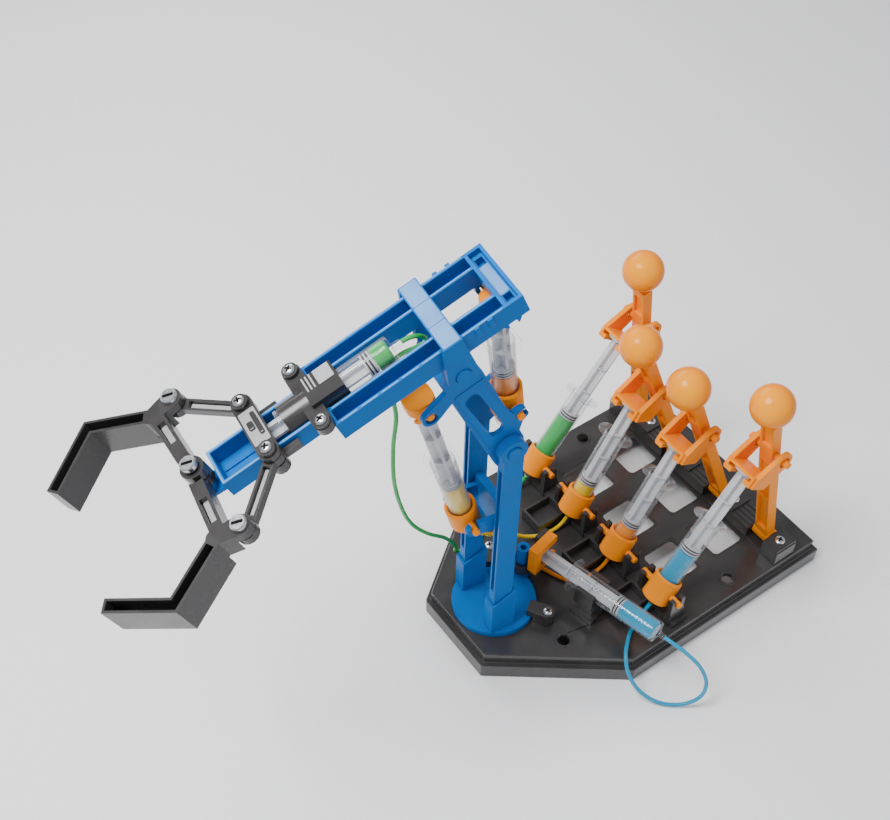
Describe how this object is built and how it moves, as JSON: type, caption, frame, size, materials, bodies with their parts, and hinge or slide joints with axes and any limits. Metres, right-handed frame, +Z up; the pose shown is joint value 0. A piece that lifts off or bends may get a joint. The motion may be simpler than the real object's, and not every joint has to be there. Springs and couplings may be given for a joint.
{
  "type": "hydraulic arm kit",
  "caption": "Table-top hydraulic arm: hand levers push syringes whose hoses turn the mast, raise it, tip the boom and close a two-jaw gripper",
  "frame": {"origin": "Centre of the base tray's underside, on the cross rib", "axes": "+X towards the hand levers, so the arm reaches to -X; +Z up; -Y is the side of the blue hose loop"},
  "size_m": [0.4239, 0.2048, 0.2941],
  "materials": {
    "kit_charcoal": "satin",
    "kit_blue": "gloss",
    "kit_orange": "gloss",
    "kit_ball_orange": "high gloss",
    "kit_clear": "clear",
    "hose_green": "clear, tinted",
    "hose_yellow": "clear, tinted",
    "hose_orange": "clear, tinted",
    "hose_blue": "clear, tinted"
  },
  "bodies": {
    "base": {"base_tray": "kit_charcoal", "lever_block": "kit_charcoal", "trunnion_rail": "kit_charcoal", "retainer_clip_near": "kit_charcoal", "retainer_clip_far": "kit_charcoal", "slew_bracket": "kit_charcoal", "hose_green": "hose_green", "hose_yellow": "hose_yellow", "hose_orange": "hose_orange", "hose_blue": "hose_blue"},
    "lever_1": {"lever_post_1": "kit_orange", "lever_ball_1": "kit_ball_orange"},
    "master_1": {"master_barrel_1": "kit_clear", "master_collar_1": "kit_orange"},
    "master_plunger_1": {"master_plunger_1": "kit_clear", "lever_yoke_1": "kit_orange"},
    "lever_2": {"lever_post_2": "kit_orange", "lever_ball_2": "kit_ball_orange"},
    "master_2": {"master_barrel_2": "kit_clear", "master_collar_2": "kit_orange"},
    "master_plunger_2": {"master_plunger_2": "kit_clear", "lever_yoke_2": "kit_orange"},
    "lever_3": {"lever_post_3": "kit_orange", "lever_ball_3": "kit_ball_orange"},
    "master_3": {"master_barrel_3": "kit_clear", "master_collar_3": "kit_orange"},
    "master_plunger_3": {"master_plunger_3": "kit_clear", "lever_yoke_3": "kit_orange"},
    "lever_4": {"lever_post_4": "kit_orange", "lever_ball_4": "kit_ball_orange"},
    "master_4": {"master_barrel_4": "kit_clear", "master_collar_4": "kit_orange"},
    "master_plunger_4": {"master_plunger_4": "kit_clear", "lever_yoke_4": "kit_orange"},
    "tower": {"turntable": "kit_blue", "tower_frame": "kit_blue"},
    "slew_barrel": {"slew_barrel": "kit_clear", "slew_clamp": "kit_charcoal"},
    "slew_plunger": {"slew_plunger": "kit_clear", "slew_yoke": "kit_orange", "slew_knuckle": "kit_charcoal"},
    "lower_arm": {"lower_arm": "kit_blue"},
    "shoulder_barrel": {"shoulder_barrel": "kit_clear", "shoulder_collar": "kit_orange"},
    "shoulder_plunger": {"shoulder_plunger": "kit_clear", "shoulder_cap": "kit_orange"},
    "boom": {"boom": "kit_blue", "saddle": "kit_blue", "grip_barrel": "kit_clear", "grip_clamp": "kit_charcoal"},
    "elbow_barrel": {"elbow_barrel": "kit_clear", "elbow_collar": "kit_orange"},
    "elbow_plunger": {"elbow_plunger": "kit_clear", "elbow_cap": "kit_orange"},
    "crosshead": {"crosshead": "kit_charcoal", "grip_plunger": "kit_clear"},
    "link_upper": {"link_upper": "kit_charcoal"},
    "link_lower": {"link_lower": "kit_charcoal"},
    "jaw_upper": {"jaw_upper": "kit_charcoal"},
    "jaw_lower": {"jaw_lower": "kit_charcoal"}
  },
  "joints": [
    {"name": "lever_1", "type": "hinge", "parent": "base", "child": "lever_1", "pos_m": [0.0843, 0.06, 0.027], "axis": [0, -1, 0], "range_deg": [0, 14]},
    {"name": "master_tilt_1", "type": "hinge", "parent": "base", "child": "master_1", "pos_m": [-0.0036, 0.06, 0.0385], "axis": [0, 1, 0], "range_deg": [-8.76, 0.02]},
    {"name": "master_slide_1", "type": "slide", "parent": "master_1", "child": "master_plunger_1", "axis": [0.6184, 0, 0.7859], "range_m": [-0.01884, 0.00002]},
    {"name": "lever_2", "type": "hinge", "parent": "base", "child": "lever_2", "pos_m": [0.0843, 0.02, 0.027], "axis": [0, -1, 0], "range_deg": [-7.5, 5.8]},
    {"name": "master_tilt_2", "type": "hinge", "parent": "base", "child": "master_2", "pos_m": [-0.0036, 0.02, 0.0385], "axis": [0, 1, 0], "range_deg": [-3.81, 4.93]},
    {"name": "master_slide_2", "type": "slide", "parent": "master_2", "child": "master_plunger_2", "axis": [0.4839, 0, 0.8751], "range_m": [-0.0082, 0.0106]},
    {"name": "lever_3", "type": "hinge", "parent": "base", "child": "lever_3", "pos_m": [0.0843, -0.02, 0.027], "axis": [0, -1, 0], "range_deg": [-4.6, 5.3]},
    {"name": "master_tilt_3", "type": "hinge", "parent": "base", "child": "master_3", "pos_m": [-0.0036, -0.02, 0.0385], "axis": [0, 1, 0], "range_deg": [-3.51, 3.05]},
    {"name": "master_slide_3", "type": "slide", "parent": "master_3", "child": "master_plunger_3", "axis": [0.4839, 0, 0.8751], "range_m": [-0.00757, 0.00657]},
    {"name": "lever_4", "type": "hinge", "parent": "base", "child": "lever_4", "pos_m": [0.0843, -0.06, 0.027], "axis": [0, -1, 0], "range_deg": [-5.8, 5.8]},
    {"name": "master_tilt_4", "type": "hinge", "parent": "base", "child": "master_4", "pos_m": [-0.0036, -0.06, 0.0385], "axis": [0, 1, 0], "range_deg": [-3.62, 3.62]},
    {"name": "master_slide_4", "type": "slide", "parent": "master_4", "child": "master_plunger_4", "axis": [0.5764, 0, 0.8172], "range_m": [-0.00778, 0.00778]},
    {"name": "turntable_yaw", "type": "hinge", "parent": "base", "child": "tower", "pos_m": [-0.0827, 0, 0.023], "axis": [0, 0, 1], "range_deg": [-16.42, 16.42]},
    {"name": "slew_swing", "type": "hinge", "parent": "base", "child": "slew_barrel", "pos_m": [-0.039, -0.038, 0.042], "axis": [0, 0, 1], "range_deg": [-0.54, 0.54], "deforming": ["hose_blue"]},
    {"name": "slew_slide", "type": "slide", "parent": "slew_barrel", "child": "slew_plunger", "axis": [-0.2267, 0.974, 0], "range_m": [-0.00778, 0.00778]},
    {"name": "shoulder", "type": "hinge", "parent": "tower", "child": "lower_arm", "pos_m": [-0.08964, 0.0009, 0.1843], "axis": [-0.1288, -0.9917, 0], "range_deg": [-14.22, 18.39]},
    {"name": "shoulder_tilt", "type": "hinge", "parent": "tower", "child": "shoulder_barrel", "pos_m": [-0.1067, 0.00312, 0.1223], "axis": [-0.1288, -0.9917, 0], "range_deg": [-6.96, 9], "deforming": ["hose_yellow"]},
    {"name": "shoulder_slide", "type": "slide", "parent": "shoulder_barrel", "child": "shoulder_plunger", "axis": [-0.2482, 0.0322, 0.9682], "range_m": [-0.0106, 0.0082]},
    {"name": "elbow", "type": "hinge", "parent": "lower_arm", "child": "boom", "pos_m": [-0.12208, 0.00511, 0.25961], "axis": [-0.1288, -0.9917, 0], "range_deg": [-12.36, 14.24], "deforming": ["hose_green"]},
    {"name": "elbow_tilt", "type": "hinge", "parent": "lower_arm", "child": "elbow_barrel", "pos_m": [-0.08418, 0.00019, 0.20455], "axis": [-0.1288, -0.9917, 0], "range_deg": [-1.95, 2.25], "deforming": ["hose_orange"]},
    {"name": "elbow_slide", "type": "slide", "parent": "elbow_barrel", "child": "elbow_plunger", "axis": [-0.1221, 0.0159, 0.9924], "range_m": [-0.00657, 0.00757]},
    {"name": "grip_slide", "type": "slide", "parent": "boom", "child": "crosshead", "axis": [-0.9188, 0.1193, -0.3762], "range_m": [-0.00002, 0.01884]},
    {"name": "link_upper", "type": "hinge", "parent": "crosshead", "child": "link_upper", "pos_m": [-0.21146, 0.03225, 0.24702], "axis": [-0.3731, 0.0485, 0.9265], "range_deg": [-0.52, 1.68]},
    {"name": "jaw_upper", "type": "hinge", "parent": "boom", "child": "jaw_upper", "pos_m": [-0.24447, 0.02101, 0.23583], "axis": [-0.3731, 0.0485, 0.9265], "range_deg": [-0.02, 26.66]},
    {"name": "link_lower", "type": "hinge", "parent": "crosshead", "child": "link_lower", "pos_m": [-0.21543, 0.00171, 0.24702], "axis": [-0.3731, 0.0485, 0.9265], "range_deg": [-1.68, 0.52]},
    {"name": "jaw_lower", "type": "hinge", "parent": "boom", "child": "jaw_lower", "pos_m": [-0.24447, 0.02101, 0.23583], "axis": [-0.3731, 0.0485, 0.9265], "range_deg": [-26.66, 0.02]}
  ],
  "couplings": [
    {"joint": "master_tilt_1", "follows": "lever_1", "ratio": -0.61213},
    {"joint": "master_slide_1", "follows": "lever_1", "m_per_rad": -0.0755},
    {"joint": "master_tilt_2", "follows": "lever_2", "ratio": -0.64148},
    {"joint": "master_slide_2", "follows": "lever_2", "m_per_rad": -0.07925},
    {"joint": "master_tilt_3", "follows": "lever_3", "ratio": -0.64514},
    {"joint": "master_slide_3", "follows": "lever_3", "m_per_rad": -0.07998},
    {"joint": "master_tilt_4", "follows": "lever_4", "ratio": -0.60906},
    {"joint": "master_slide_4", "follows": "lever_4", "m_per_rad": -0.075125},
    {"joint": "turntable_yaw", "follows": "lever_4", "ratio": 2.7714},
    {"joint": "slew_swing", "follows": "lever_4", "ratio": 0.037891},
    {"joint": "slew_slide", "follows": "lever_4", "m_per_rad": 0.075125},
    {"joint": "shoulder", "follows": "lever_2", "ratio": -2.4011},
    {"joint": "shoulder_tilt", "follows": "lever_2", "ratio": -1.1738},
    {"joint": "shoulder_slide", "follows": "lever_2", "m_per_rad": 0.07925},
    {"joint": "elbow", "follows": "lever_3", "ratio": 2.6307},
    {"joint": "elbow_tilt", "follows": "lever_3", "ratio": 0.41168},
    {"joint": "elbow_slide", "follows": "lever_3", "m_per_rad": 0.07998},
    {"joint": "grip_slide", "follows": "lever_1", "m_per_rad": 0.0755},
    {"joint": "link_upper", "follows": "lever_1", "ratio": 0.081325},
    {"joint": "jaw_upper", "follows": "lever_1", "ratio": 1.8656},
    {"joint": "link_lower", "follows": "lever_1", "ratio": -0.081325},
    {"joint": "jaw_lower", "follows": "lever_1", "ratio": -1.8656}
  ]
}
